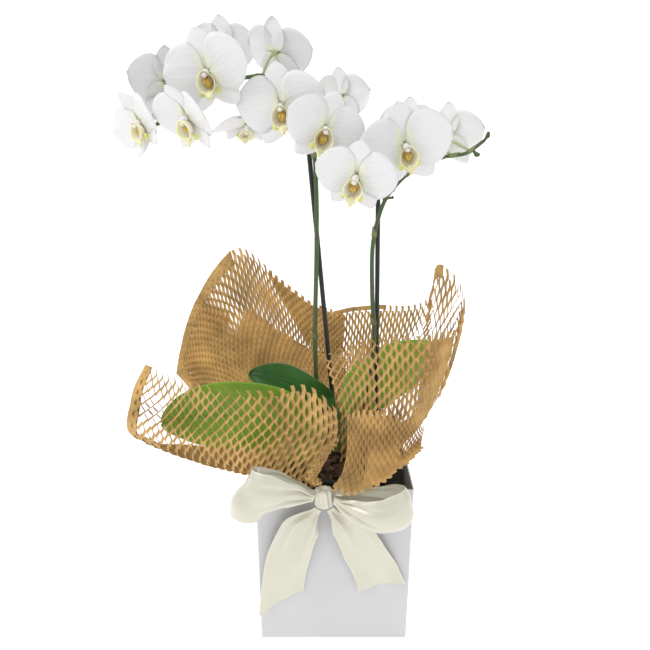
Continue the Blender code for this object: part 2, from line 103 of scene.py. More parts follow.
# Centre, yaw (0 faces the front, + to the right), pitch (+ up), roll, half span, cup, spike, place on its spike
FLOWERS = {
    "01": ((-0.009, -0.046, 0.503), 10, -10, -18, 0.034, 0.10, "left", 0.60),
    "02": ((0.006, 0.032, 0.531), 150, 12, 0, 0.029, 0.15, "left", 0.63),
    "03": ((-0.045, -0.030, 0.521), -8, -10, 8, 0.038, 0.10, "left", 0.72),
    "04": ((-0.053, 0.031, 0.568), 150, 28, 10, 0.034, 0.25, "left", 0.71),
    "05": ((-0.080, 0.012, 0.507), 8, -70, -6, 0.031, 0.35, "left", 0.80),
    "06": ((-0.105, -0.030, 0.547), -12, -12, 12, 0.038, 0.12, "left", 0.86),
    "07": ((-0.105, 0.052, 0.574), 182, 8, 0, 0.032, 0.15, "left", 0.83),
    "08": ((-0.119, -0.052, 0.512), -38, -30, 0, 0.032, 0.30, "left", 0.90),
    "09": ((-0.153, 0.024, 0.543), -140, 12, 0, 0.034, 0.25, "left", 0.95),
    "10": ((-0.166, -0.020, 0.508), -38, -12, 22, 0.031, 0.35, "left", 0.93),
    "11": ((0.057, -0.044, 0.490), 5, -14, 14, 0.040, 0.10, "right", 0.78),
    "12": ((0.016, -0.067, 0.467), -14, -22, -12, 0.034, 0.12, "right", 0.68),
    "13": ((0.106, 0.022, 0.497), 140, 12, 0, 0.033, 0.25, "right", 0.92),
    "14": ((0.074, 0.056, 0.507), 180, -14, 0, 0.030, 0.20, "right", 0.84),
}
# Rows of points from a sheet's foot in the box up to its free edge
SHEETS = {
    "paper_back_left": (
        ((-0.070, -0.002, 0.160), (-0.070, 0.022, 0.160), (-0.068, 0.048, 0.160), (-0.058, 0.066, 0.160),
         (-0.036, 0.069, 0.160), (-0.012, 0.069, 0.160), (0.012, 0.069, 0.160)),
        ((-0.071, 0.000, 0.188), (-0.071, 0.024, 0.188), (-0.069, 0.050, 0.190), (-0.059, 0.068, 0.190),
         (-0.037, 0.070, 0.190), (-0.012, 0.070, 0.190), (0.013, 0.070, 0.190)),
        ((-0.128, 0.016, 0.214), (-0.126, 0.044, 0.236), (-0.108, 0.068, 0.254), (-0.083, 0.083, 0.260),
         (-0.050, 0.088, 0.250), (-0.020, 0.090, 0.244), (0.015, 0.092, 0.240)),
        ((-0.171, 0.038, 0.250), (-0.164, 0.062, 0.292), (-0.144, 0.088, 0.338), (-0.107, 0.105, 0.376),
         (-0.067, 0.111, 0.343), (-0.026, 0.114, 0.311), (0.015, 0.114, 0.296)),
    ),
    "paper_back_right": (
        ((-0.005, 0.0718, 0.160), (0.020, 0.0716, 0.160), (0.040, 0.070, 0.160), (0.056, 0.067, 0.160),
         (0.066, 0.058, 0.160), (0.070, 0.042, 0.160), (0.071, 0.026, 0.160), (0.071, 0.010, 0.160),
         (0.071, -0.006, 0.160)),
        ((-0.005, 0.073, 0.190), (0.021, 0.073, 0.190), (0.042, 0.072, 0.190), (0.059, 0.068, 0.190),
         (0.068, 0.059, 0.190), (0.071, 0.044, 0.190), (0.072, 0.028, 0.190), (0.072, 0.012, 0.188),
         (0.072, -0.004, 0.187)),
        ((-0.004, 0.097, 0.242), (0.024, 0.098, 0.246), (0.052, 0.098, 0.248), (0.080, 0.092, 0.250),
         (0.098, 0.082, 0.256), (0.108, 0.072, 0.268), (0.120, 0.056, 0.266), (0.122, 0.036, 0.252),
         (0.112, 0.018, 0.232)),
        ((-0.003, 0.120, 0.295), (0.028, 0.121, 0.301), (0.060, 0.120, 0.305), (0.092, 0.114, 0.306),
         (0.112, 0.106, 0.318), (0.119, 0.100, 0.357), (0.139, 0.080, 0.347), (0.143, 0.056, 0.325),
         (0.132, 0.034, 0.288)),
    ),
    "paper_front_left": (
        ((-0.071, -0.014, 0.160), (-0.071, -0.036, 0.160), (-0.068, -0.056, 0.160), (-0.056, -0.068, 0.160),
         (-0.034, -0.071, 0.160), (-0.010, -0.071, 0.160)),
        ((-0.073, -0.016, 0.188), (-0.073, -0.038, 0.188), (-0.070, -0.059, 0.188), (-0.058, -0.071, 0.188),
         (-0.035, -0.072, 0.188), (-0.010, -0.072, 0.188)),
        ((-0.194, -0.030, 0.208), (-0.150, -0.052, 0.203), (-0.106, -0.072, 0.204), (-0.073, -0.083, 0.204),
         (-0.042, -0.083, 0.200), (-0.013, -0.079, 0.198)),
        ((-0.200, -0.026, 0.250), (-0.156, -0.046, 0.240), (-0.104, -0.066, 0.241), (-0.064, -0.075, 0.240),
         (-0.024, -0.070, 0.238), (0.004, -0.064, 0.228)),
        ((-0.184, -0.020, 0.285), (-0.152, -0.036, 0.280), (-0.104, -0.055, 0.277), (-0.064, -0.060, 0.276),
         (-0.024, -0.055, 0.279), (0.004, -0.058, 0.254)),
    ),
    "paper_front_right": (
        ((0.004, -0.042, 0.190), (0.022, -0.043, 0.190), (0.044, -0.040, 0.190), (0.060, -0.030, 0.190),
         (0.070, -0.012, 0.192)),
        ((0.004, -0.046, 0.240), (0.024, -0.049, 0.240), (0.052, -0.046, 0.238), (0.078, -0.034, 0.232),
         (0.094, -0.010, 0.220)),
        ((-0.005, -0.044, 0.275), (0.019, -0.048, 0.281), (0.052, -0.046, 0.280), (0.084, -0.034, 0.275),
         (0.113, -0.002, 0.265)),
        ((-0.013, -0.036, 0.298), (0.011, -0.040, 0.313), (0.047, -0.038, 0.320), (0.087, -0.026, 0.319),
         (0.125, 0.006, 0.314)),
    ),
    "paper_cone": (
        ((0.010, -0.060, 0.250), (0.030, -0.060, 0.256), (0.052, -0.058, 0.251), (0.072, -0.055, 0.245),
         (0.087, -0.050, 0.232)),
        ((0.011, -0.063, 0.224), (0.030, -0.063, 0.222), (0.051, -0.061, 0.222), (0.070, -0.058, 0.223),
         (0.085, -0.053, 0.225)),
        ((0.006, -0.080, 0.203), (0.028, -0.080, 0.200), (0.048, -0.078, 0.203), (0.065, -0.070, 0.210),
         (0.083, -0.062, 0.220)),
        ((-0.006, -0.104, 0.200), (0.016, -0.108, 0.199), (0.040, -0.104, 0.206), (0.060, -0.093, 0.214),
         (0.084, -0.072, 0.225)),
    ),
    "paper_curl": (
        ((0.006, -0.072, 0.238), (-0.009, -0.078, 0.230), (-0.022, -0.089, 0.216), (-0.027, -0.096, 0.205),
         (-0.016, -0.103, 0.201)),
        ((0.001, -0.070, 0.222), (-0.006, -0.077, 0.218), (-0.012, -0.085, 0.210), (-0.016, -0.091, 0.203),
         (-0.010, -0.096, 0.201)),
    ),
}
# Along a strip from joint to joint, from strip to strip, strip width, its tilt in degrees, and the sheet's plain
# patches as (from u, to u, from v, to v)
WEAVES = {
    "paper_back_left": (0.0145, 0.0036, 0.0037, 40, ((0.0, 0.06, 0.30, 1.0), (0.0, 0.47, 0.925, 1.0))),
    "paper_back_right": (0.0135, 0.0036, 0.0032, 46, ((0.54, 0.66, 0.94, 1.0), (0.02, 0.30, 0.965, 1.0))),
    "paper_front_left": (0.0125, 0.0050, 0.0041, 48, ((0.0, 0.055, 0.40, 1.0), (0.02, 0.16, 0.40, 0.52))),
    "paper_front_right": (0.0125, 0.0048, 0.0032, 50, ()),
    "paper_cone": (0.0100, 0.0030, 0.0034, 32, ()),
    "paper_curl": (0.0090, 0.0026, 0.0026, 35, ()),
}
# Soft folds in a sheet: start and end as (u, v), how far it goes out of the sheet, and its reach in shares of it
CREASES = {
    "paper_back_left": (((0.30, 1.05), (0.40, 0.70), -0.007, 0.06), ((0.40, 0.70), (0.95, 0.52), -0.007, 0.06),
                        ((0.62, 1.00), (0.78, 0.62), 0.004, 0.07)),
    "paper_back_right": (((0.30, 1.05), (0.22, 0.45), -0.004, 0.06), ((0.80, 1.05), (0.66, 0.45), 0.004, 0.05)),
    "paper_front_left": (((0.30, 1.05), (0.42, 0.50), 0.003, 0.06), ((0.78, 1.05), (0.82, 0.50), -0.003, 0.05)),
    "paper_front_right": (((0.35, 1.05), (0.25, 0.20), -0.004, 0.07), ((0.70, 1.05), (0.60, 0.20), 0.003, 0.06)),
    "paper_cone": (((0.30, 0.40), (0.22, 1.05), 0.003, 0.06), ((0.62, 0.30), (0.70, 1.05), -0.003, 0.06)),
}
# Route, half width at each point, the direction across the ribbon, its pleats and the slant of its cut end
BANDS = {
    "ribbon_loop_left": (
        ((-0.0185, -0.095, 0.184), (-0.040, -0.107, 0.195), (-0.060, -0.113, 0.200), (-0.074, -0.111, 0.199),
         (-0.080, -0.102, 0.197), (-0.074, -0.094, 0.197), (-0.057, -0.092, 0.196), (-0.036, -0.0915, 0.190),
         (-0.0185, -0.090, 0.184)),
        (0.004, 0.014, 0.021, 0.024, 0.024, 0.021, 0.016, 0.010, 0.004),
        (0.60, 0.0, 0.86), 5, 0.0,
    ),
    "ribbon_loop_right": (
        ((-0.0015, -0.095, 0.182), (0.018, -0.106, 0.178), (0.040, -0.111, 0.176), (0.057, -0.108, 0.179),
         (0.064, -0.100, 0.180), (0.058, -0.091, 0.179), (0.038, -0.089, 0.178), (0.016, -0.089, 0.180),
         (-0.0015, -0.089, 0.182)),
        (0.004, 0.013, 0.017, 0.019, 0.019, 0.017, 0.014, 0.010, 0.004),
        (-0.10, 0.0, 1.0), 5, 0.0,
    ),
    "ribbon_tail_left": (
        ((-0.0155, -0.090, 0.1695), (-0.033, -0.088, 0.143), (-0.045, -0.083, 0.105), (-0.051, -0.080, 0.070),
         (-0.055, -0.080, 0.034)),
        (0.004, 0.019, 0.021, 0.021, 0.021),
        (0.95, 0.0, 0.35), 4, 0.22,
    ),
    "ribbon_tail_right": (
        ((-0.0045, -0.090, 0.1695), (0.015, -0.088, 0.146), (0.031, -0.083, 0.110), (0.042, -0.080, 0.086),
         (0.049, -0.079, 0.066)),
        (0.004, 0.018, 0.021, 0.022, 0.023),
        (0.95, 0.0, 0.12), 4, -0.10,
    ),
}
KNOT_FULLNESS = 1.12
KNOT_BREADTH = 1.28
CRUMPLE_SEED = 7
BARK_SEED = 11
FLOWER_SEED = 7

LEAF_WALL = 0.0014
LIP_WALL = 0.0004


# Curves and sheets -------------------------------------------------------------------------------------------------

def catmull(points, t):
    """Point at share t of a smooth line through the points."""
    last = len(points) - 1
    place = min(max(t, 0.0), 1.0) * last
    i = min(int(place), last - 1)
    f = place - i
    p1, p2 = Vector(points[i]), Vector(points[i + 1])
    p0 = Vector(points[i - 1]) if i > 0 else 2 * p1 - p2
    p3 = Vector(points[i + 2]) if i + 2 <= last else 2 * p2 - p1
    return 0.5 * (2 * p1 + (p2 - p0) * f + (2 * p0 - 5 * p1 + 4 * p2 - p3) * f**2 + (3 * (p1 - p2) + p3 - p0) * f**3)


def value_at(values, t):
    """Number at share t along evenly spaced values, eased from one to the next."""
    last = len(values) - 1
    place = min(max(t, 0.0), 1.0) * last
    i = min(int(place), last - 1)
    f = place - i
    return values[i] + (values[i + 1] - values[i]) * f * f * (3 - 2 * f)


def tangent(points, t):
    return (catmull(points, t + 0.005) - catmull(points, t - 0.005)).normalized()


def smooth(low, high, value):
    share = min(max((value - low) / (high - low), 0.0), 1.0)
    return share * share * (3 - 2 * share)


def length_of(points):
    steps = [catmull(points, i / 60) for i in range(61)]
    return sum((b - a).length for a, b in zip(steps, steps[1:]))


def extent(node):
    """A fixed node's box, as its centre and half sizes."""
    low, high = (Vector(corner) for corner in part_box(node))
    return (low + high) / 2, (high - low) / 2


def stretched(centre, size):
    """Placing of a unit ball or cube at a centre, with its own size along each axis."""
    return Matrix.Translation(centre) @ Matrix.Diagonal((*size, 1.0))


class Sheet:
    """Smooth surface through rows of points, whose shares run evenly along its own lengths."""

    STEPS = 72

    def __init__(self, rows, crumple=0.0012):
        count = self.STEPS
        across = self.even([catmull(rows[-2], i / 200) for i in range(201)])
        column = [catmull([catmull(row, 0.5) for row in rows], i / 200) for i in range(201)]
        up = self.even(column)
        self.points = []
        for i in range(count + 1):
            line = [catmull(row, across(i / count)) for row in rows]
            self.points.append([catmull(line, up(j / count)) for j in range(count + 1)])
        for line in self.points:
            for point in line:
                wave = noise.noise_vector(point * 38.0)
                height = smooth(0.185, 0.215, point.z)
                point += wave * crumple * height
        pairs = tuple(zip(self.points, self.points[1:]))
        widths = [sum((b[j] - a[j]).length for a, b in pairs) for j in range(count + 1)]
        self.width = widths[count * 3 // 4]
        self.mean_width = sum(widths) / len(widths)
        middle = self.points[count // 2]
        self.height = sum((b - a).length for a, b in zip(middle, middle[1:]))

    def crease(self, start, end, depth, reach):
        """Raises or sinks the sheet along a line, easing out on both sides."""
        start, end = Vector(start), Vector(end)
        run = end - start
        moved = []
        for i in range(self.STEPS + 1):
            for j in range(self.STEPS + 1):
                here = Vector((i, j)) / self.STEPS
                along = min(max((here - start).dot(run) / run.length_squared, 0.0), 1.0)
                away = (here - start - run * along).length
                rise = depth * math.exp(-away / reach) * smooth(0.2, 0.5, here.y)
                moved.append((i, j, self.normal(*here) * rise))
        for i, j, step in moved:
            self.points[i][j] += step

    @staticmethod
    def even(line):
        """Function that turns an even share of a line's length into its own share."""
        lengths = [0.0]
        for a, b in zip(line, line[1:]):
            lengths.append(lengths[-1] + (b - a).length)
        total = lengths[-1]

        def share_at(t):
            wanted = t * total
            for i in range(1, len(lengths)):
                if lengths[i] >= wanted:
                    step = (wanted - lengths[i - 1]) / max(lengths[i] - lengths[i - 1], 1e-9)
                    return (i - 1 + step) / (len(lengths) - 1)
            return 1.0

        return share_at

    def at(self, u, v):
        x = min(max(u, 0.0), 1.0) * self.STEPS
        y = min(max(v, 0.0), 1.0) * self.STEPS
        i, j = min(int(x), self.STEPS - 1), min(int(y), self.STEPS - 1)
        low = self.points[i][j].lerp(self.points[i + 1][j], x - i)
        high = self.points[i][j + 1].lerp(self.points[i + 1][j + 1], x - i)
        return low.lerp(high, y - j)

    def normal(self, u, v):
        step = 0.015
        along = self.at(u + step, v) - self.at(u - step, v)
        up = self.at(u, v + step) - self.at(u, v - step)
        return along.cross(up).normalized()


# Meshes ------------------------------------------------------------------------------------------------------------

class Shape:
    """One piece's mesh in the making, from grids, tubes and balls."""

    def __init__(self):
        self.bm = bmesh.new()
        self.uv = self.bm.loops.layers.uv.new("UVMap")

    def grid(self, columns, rows, place, finish=0, weld=False, smoothed=True):
        """Grid of columns by rows faces, each point put at place(u, v) with u and v from 0 to 1."""
        made = bmesh.ops.create_grid(self.bm, x_segments=columns, y_segments=rows, size=0.5, calc_uvs=True)
        verts = made["verts"]
        faces = {face for vert in verts for face in vert.link_faces}
        for face in faces:
            face.material_index = finish
            face.smooth = smoothed
        for vert in verts:
            vert.co = place(vert.co.x + 0.5, vert.co.y + 0.5)
        if weld:
            bmesh.ops.remove_doubles(self.bm, verts=verts, dist=1e-6)
            shell = [face for face in faces if face.is_valid]
            bmesh.ops.recalc_face_normals(self.bm, faces=shell)
        return verts

    def tube(self, points, radius_at, sides=12, steps=24, finish=0, aside=None):
        """Round rod along a smooth route, closed at both ends."""
        run = Vector(points[-1]) - Vector(points[0])
        axes = (Vector((1, 0, 0)), Vector((0, 1, 0.03)), Vector((0, 0, 1)))
        spare = aside or min(axes, key=lambda axis: abs(axis.dot(run)))
        rows = steps + 2

        def place(u, v):
            ring = round(v * rows)
            share = min(max((ring - 1) / steps, 0.0), 1.0)
            middle = catmull(points, share)
            if ring in (0, rows):
                return middle
            along = tangent(points, share)
            side = along.cross(spare).normalized()
            return middle + Matrix.Rotation(math.tau * u, 3, along) @ side * radius_at(share)

        return self.grid(sides, rows, place, finish, weld=True)

    def ball(self, place, segments=14, rings=10, finish=0):
        made = bmesh.ops.create_uvsphere(self.bm, u_segments=segments, v_segments=rings, radius=1.0, matrix=place)
        for face in {face for vert in made["verts"] for face in vert.link_faces}:
            face.material_index = finish
            face.smooth = True
        return made["verts"]

    def lathe(self, outline, segments=72, finish=0):
        """Turns an outline of (radius, height) points, which starts and ends on the axis, around Z."""
        last = len(outline) - 1

        def place(u, v):
            radius, height = outline[round(v * last)]
            return Matrix.Rotation(math.tau * u, 3, "Z") @ Vector((radius, 0.0, height))

        return self.grid(segments, last, place, finish, weld=True, smoothed=False)

    def finish(self, name, slot, materials, replaces=(), thickness=0.0, offset=0.0, bevel=0.0, rounds=0):
        """Makes the object, gives it its materials and rides it on the body."""
        mesh = bpy.data.meshes.new(name)
        self.bm.to_mesh(mesh)
        self.bm.free()
        for material in materials:
            mesh.materials.append(material)
        piece = bpy.data.objects.new(name, mesh)
        bpy.context.scene.collection.objects.link(piece)
        if thickness:
            wall = piece.modifiers.new("Thickness", "SOLIDIFY")
            wall.thickness, wall.offset = thickness, offset
        if bevel:
            edge = piece.modifiers.new("Edges", "BEVEL")
            edge.width, edge.segments, edge.limit_method = bevel, 2, "ANGLE"
        if rounds:
            soft = piece.modifiers.new("Smooth", "SUBSURF")
            soft.levels = soft.render_levels = rounds
        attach(piece, BODY)
        if replaces:
            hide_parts(*replaces)
        return piece


# Materials ---------------------------------------------------------------------------------------------------------

class Signal:
    """One output socket, on which Python's operators add Math nodes."""

    def __init__(self, finish, socket):
        self.finish = finish
        self.socket = socket

    def math(self, operation, *others):
        return self.finish.node("Math", {"operation": operation}, self, *others)

    def reflected(self, operation, other):
        return self.finish.node("Math", {"operation": operation}, other, self)

    def __add__(self, other):
        return self.math("ADD", other)

    def __sub__(self, other):
        return self.math("SUBTRACT", other)

    def __rsub__(self, other):
        return self.reflected("SUBTRACT", other)

    def __mul__(self, other):
        return self.math("MULTIPLY", other)

    def __truediv__(self, other):
        return self.math("DIVIDE", other)

    def __pow__(self, other):
        return self.math("POWER", other)

    __radd__ = __add__
    __rmul__ = __mul__


class Finish:
    """A Principled material and the nodes that vary it over the surface."""

    def __init__(self, name, **constants):
        self.material = bpy.data.materials.new(name)
        self.material.use_nodes = True
        self.tree = self.material.node_tree
        self.shader = self.tree.nodes["Principled BSDF"]
        for socket, value in constants.items():
            self.shader.inputs[socket.replace("_", " ")].default_value = value

    def feed(self, socket, value):
        if isinstance(value, Signal):
            self.tree.links.new(value.socket, socket)
        else:
            socket.default_value = value

    def node(self, kind, settings, *values, output=0, **named):
        """Adds a node with its settings, then the values or links of its sockets, and gives one output."""
        made = self.tree.nodes.new("ShaderNode" + kind)
        for key, value in settings.items():
            if key == "stops":
                ramp = made.color_ramp.elements
                while len(ramp) < len(value):
                    ramp.new(0.5)
                for stop, (place, colour) in zip(ramp, value):
                    stop.position, stop.color = place, (*colour, 1.0)
            else:
                setattr(made, key, value)
        for index, value in enumerate(values):
            self.feed(made.inputs[index], value)
        for name, value in named.items():
            self.feed(made.inputs[name.replace("_", " ")], value)
        return Signal(self, made.outputs[output])

    def place(self):
        return self.node("TexCoord", {}, output=3)

    def own_uv(self):
        """The piece's own U and V."""
        uv = self.node("TexCoord", {}, output=2)
        return self.node("SeparateXYZ", {}, uv), self.node("SeparateXYZ", {}, uv, output=1)

    def cloud(self, scale, detail=3.0, roughness=0.5, at=None):
        return self.node(
            "TexNoise", {}, Vector=at or self.place(), Scale=scale, Detail=detail, Roughness=roughness)

    def ramp(self, value, *stops):
        return self.node("ValToRGB", {"stops": stops}, value)

    def blend(self, share, first, second):
        """Colour that goes from first to second."""
        made = self.tree.nodes.new("ShaderNodeMix")
        made.data_type = "RGBA"
        for index, value in ((0, share), (6, first), (7, second)):
            self.feed(made.inputs[index], value if isinstance(value, (Signal, float)) else (*value, 1.0))
        return Signal(self, made.outputs[2])

    def between(self, value, low, high):
        """0 below low, 1 above high, and even in between."""
        return self.node("MapRange", {}, value, low, high, 0.0, 1.0)

    def surface(self, colour=None, roughness=None, height=None, distance=0.001, strength=1.0):
        if colour is not None:
            self.feed(self.shader.inputs["Base Color"], colour)
        if roughness is not None:
            self.feed(self.shader.inputs["Roughness"], roughness)
        if height is not None:
            bump = self.node("Bump", {}, Strength=strength, Distance=distance, Height=height)
            self.feed(self.shader.inputs["Normal"], bump)
        return self.material


def petal_finish(name, white, base, vein):
    """Soft white petal with fine veins that fan out from a greenish base."""
    made = Finish(name, Subsurface_Weight=0.35, Subsurface_Radius=(0.9, 0.9, 0.8), Subsurface_Scale=0.002,
                  Specular_IOR_Level=0.35, Sheen_Weight=0.15, Sheen_Roughness=0.4)
    u, v = made.own_uv()
    wobble = made.cloud(70.0, 2.0)
    lines = ((u * 62.0 + wobble * 5.0).math("SINE") * 0.5 + 0.5) ** 5.0
    fine = ((u * 150.0 + wobble * 9.0).math("SINE") * 0.5 + 0.5) ** 3.0
    veins = (lines * 0.7 + fine * 0.3) * (1.0 - made.between(v, 0.75, 1.0))
    colour = made.blend(veins * vein, white, tuple(c * 0.80 for c in white))
    colour = made.blend(1.0 - made.between(v, 0.02, 0.22), colour, base)
    return made.surface(colour, 0.52 + made.cloud(300.0) * 0.1, lines * 0.6 + made.cloud(900.0) * 0.4, 0.0003, 0.5)


def lip_finish():
    """Cupped lip: yellow throat with red-brown specks, white towards a yellow rim."""
    made = Finish("lip", Subsurface_Weight=0.2, Subsurface_Radius=(0.8, 0.6, 0.3), Subsurface_Scale=0.001,
                  Specular_IOR_Level=0.5, Coat_Weight=0.15, Coat_Roughness=0.3)
    _, v = made.own_uv()
    throat = made.ramp(v, (0.0, (0.66, 0.44, 0.08)), (0.15, (0.80, 0.64, 0.18)), (0.30, (0.84, 0.80, 0.60)),
                       (0.74, (0.84, 0.83, 0.76)), (0.90, (0.90, 0.87, 0.46)), (1.0, (0.93, 0.91, 0.66)))
    specks = made.between(made.cloud(900.0, 2.0), 0.56, 0.62) * (1.0 - made.between(v, 0.25, 0.60))
    colour = made.blend(specks * 0.7, throat, (0.42, 0.08, 0.03))
    return made.surface(colour, 0.4, made.cloud(700.0), 0.0003, 0.4)


def plain_finish(name, colour, roughness, grain, contrast=0.25, depth=0.0002, **constants):
    """One colour that varies a little, with a grain of its own."""
    made = Finish(name, **constants)
    speck = made.cloud(grain, 4.0, 0.6)
    dark = tuple(c * (1.0 - contrast) for c in colour)
    shade = made.blend(made.between(speck, 0.3, 0.7), dark, colour)
    return made.surface(shade, roughness - 0.06 + speck * 0.12, speck, depth, 0.6)


def leaf_finish(name, light, dark, tip):
    """Waxy leaf: paler along the midrib, faint lengthwise veins, darker blotches."""
    made = Finish(name, Coat_Weight=0.25, Coat_Roughness=0.25, Specular_IOR_Level=0.5)
    u, v = made.own_uv()
    blotch = made.between(made.cloud(26.0, 4.0), 0.3, 0.7)
    ridges = (u * 170.0).math("SINE") * 0.5 + 0.5
    colour = made.blend(blotch, light, dark)
    colour = made.blend(ridges * 0.12, colour, tuple(c * 0.6 for c in dark))
    midrib = 1.0 - made.between((u - 0.5).math("ABSOLUTE"), 0.0, 0.05)
    colour = made.blend(midrib * 0.45, colour, tuple(c * 0.55 for c in dark))
    colour = made.blend(made.between(v, 0.86, 1.0) * 0.5, colour, tip)
    height = ridges * 0.4 + made.cloud(240.0) * 0.5 - midrib * 1.6
    return made.surface(colour, 0.36 + made.cloud(60.0) * 0.12, height, 0.0003, 0.5)


def stem_finish():
    """Green stem, browner here and there, with fine lengthwise streaks and dots."""
    made = Finish("stem", Coat_Weight=0.1, Coat_Roughness=0.3)
    u, _ = made.own_uv()
    streak = (u * 90.0).math("SINE") * 0.5 + 0.5
    patch = made.between(made.cloud(45.0, 4.0), 0.42, 0.66)
    colour = made.blend(patch, (0.040, 0.092, 0.016), (0.055, 0.062, 0.022))
    colour = made.blend(streak * 0.3, colour, (0.070, 0.140, 0.035))
    dots = made.between(made.cloud(1100.0, 1.0), 0.62, 0.68)
    colour = made.blend(dots * 0.5, colour, (0.20, 0.26, 0.10))
    return made.surface(colour, 0.42, streak * 0.5 + dots * 0.3, 0.0002, 0.5)


def kraft_finish(settings):
    """Brown kraft paper: long fibres, small flecks, and broad random patches of painted shade and painted highlight.
    """
    made = Finish("kraft paper", Specular_IOR_Level=0.25, Sheen_Weight=0.1)
    tint = tuple(settings.tint)
    cloud = made.between(made.cloud(45.0, 4.0, 0.6), 0.3, 0.72)
    fibre = made.cloud(950.0, 3.0, 0.7)
    # painted shade and painted highlight: broad cloudy patches that go from dark to pale brown
    colour = made.blend(cloud, tuple(c * 0.66 for c in tint), tuple(min(1.0, c * 1.20) for c in tint))
    colour = made.blend(made.between(fibre, 0.55, 0.75) * 0.35, colour, tuple(c * 0.5 for c in tint))
    return made.surface(colour, 0.72 + fibre * 0.12, fibre, 0.0002, 0.5)


def satin_finish(settings):
    """Ivory satin: fine threads along the ribbon and a soft sheen."""
    made = Finish("ivory satin", Specular_IOR_Level=0.7, Sheen_Weight=0.2, Sheen_Roughness=0.35, Metallic=0.12,
                  Coat_Weight=0.35, Coat_Roughness=0.22)
    u, v = made.own_uv()
    threads = (v * 900.0).math("SINE") * 0.5 + 0.5
    weft = (u * 1500.0).math("SINE") * 0.5 + 0.5
    ivory = tuple(settings.tint)
    edge = made.between((v - 0.5).math("ABSOLUTE"), 0.475, 0.49)
    colour = made.blend(made.cloud(30.0, 3.0) * 0.5, ivory, tuple(c * 0.9 for c in ivory))
    colour = made.blend(edge * 0.5, colour, (0.93, 0.92, 0.84))
    height = threads * 0.5 + weft * 0.2 + edge * 1.5 + made.cloud(120.0) * 0.8
    return made.surface(colour, 0.27 + made.cloud(90.0) * 0.08, height, 0.0001, 0.3)


def card_finish(settings):
    """Coated white card: almost smooth, with faint mottling in its gloss."""
    made = Finish("coated white card", Coat_Weight=0.35, Coat_Roughness=0.12, Specular_IOR_Level=0.5)
    white = tuple(settings.card)
    mottle = made.between(made.cloud(16.0, 4.0), 0.3, 0.7)
    colour = made.blend(mottle, tuple(c * 0.975 for c in white), white)
    pulp = made.cloud(900.0, 3.0)
    return made.surface(colour, 0.30 + made.cloud(35.0) * 0.08, pulp, 0.00005, 0.4)


def bark_finish():
    made = Finish("bark chips")
    chunk = made.cloud(130.0, 5.0, 0.7)
    colour = made.ramp(chunk, (0.30, (0.020, 0.012, 0.007)), (0.50, (0.085, 0.045, 0.024)),
                       (0.66, (0.19, 0.11, 0.06)), (0.80, (0.30, 0.21, 0.13)))
    return made.surface(colour, 0.9, chunk, 0.002, 0.8)


# Settings ----------------------------------------------------------------------------------------------------------

class OrchidPaperSettings(bpy.types.PropertyGroup):
    gauge: bpy.props.FloatProperty(
        name="Paper thickness", description="Thickness of the kraft paper", default=0.0002, min=0.0001,
        subtype="DISTANCE")
    tint: bpy.props.FloatVectorProperty(
        name="Kraft colour", description="Colour of the paper", default=(0.60, 0.375, 0.140), subtype="COLOR",
        min=0.0, max=1.0)


class OrchidFlowerSettings(bpy.types.PropertyGroup):
    white: bpy.props.FloatVectorProperty(
        name="Petal colour", description="Colour of the petals and sepals", default=(0.77, 0.77, 0.785),
        subtype="COLOR", min=0.0, max=1.0)
    base: bpy.props.FloatVectorProperty(
        name="Base colour", description="Colour at the foot of each petal", default=(0.80, 0.83, 0.62),
        subtype="COLOR", min=0.0, max=1.0)
    vein: bpy.props.FloatProperty(
        name="Veins", description="How dark the veins are", default=0.13, min=0.0, max=1.0, subtype="FACTOR")
    gauge: bpy.props.FloatProperty(
        name="Petal thickness", description="Thickness of a petal", default=0.0006, min=0.0002, subtype="DISTANCE")


class OrchidRibbonSettings(bpy.types.PropertyGroup):
    tint: bpy.props.FloatVectorProperty(
        name="Ribbon colour", description="Colour of the satin", default=(0.68, 0.66, 0.54), subtype="COLOR",
        min=0.0, max=1.0)
    gauge: bpy.props.FloatProperty(
        name="Ribbon thickness", description="Thickness of the satin", default=0.0005, min=0.0002,
        subtype="DISTANCE")


class OrchidBoxSettings(bpy.types.PropertyGroup):
    card: bpy.props.FloatVectorProperty(
        name="Card colour", description="Colour of the gift box", default=(0.63, 0.63, 0.645), subtype="COLOR",
        min=0.0, max=1.0)
    wall: bpy.props.FloatProperty(
        name="Card thickness", description="Thickness of the box's walls", default=0.0012, min=0.0004,
        subtype="DISTANCE")
    chips: bpy.props.IntProperty(
        name="Bark chips", description="Pieces of bark on top of the pot", default=230, min=20)


class OrchidStageSettings(bpy.types.PropertyGroup):
    floor: bpy.props.FloatVectorProperty(
        name="Floor colour", description="Colour of the floor and the backdrop", default=(0.93, 0.93, 0.93),
        subtype="COLOR", min=0.0, max=1.0)
    sky: bpy.props.FloatProperty(
        name="Room light", description="Strength of the light from all round", default=0.66, min=0.0)
    key: bpy.props.FloatProperty(
        name="Key light", description="Power of the large light over the left", default=8.5, min=0.0,
        subtype="POWER")


# Pieces ------------------------------------------------------------------------------------------------------------

def facing(yaw, pitch, roll):
    """Turn from a flower's own axes, +Z out of its face and +Y up its dorsal sepal, to the plant's."""
    turn = Matrix.Rotation(math.radians(yaw), 3, "Z") @ Matrix.Rotation(math.radians(90 - pitch), 3, "X")
    return turn @ Matrix.Rotation(math.radians(roll), 3, "Z")


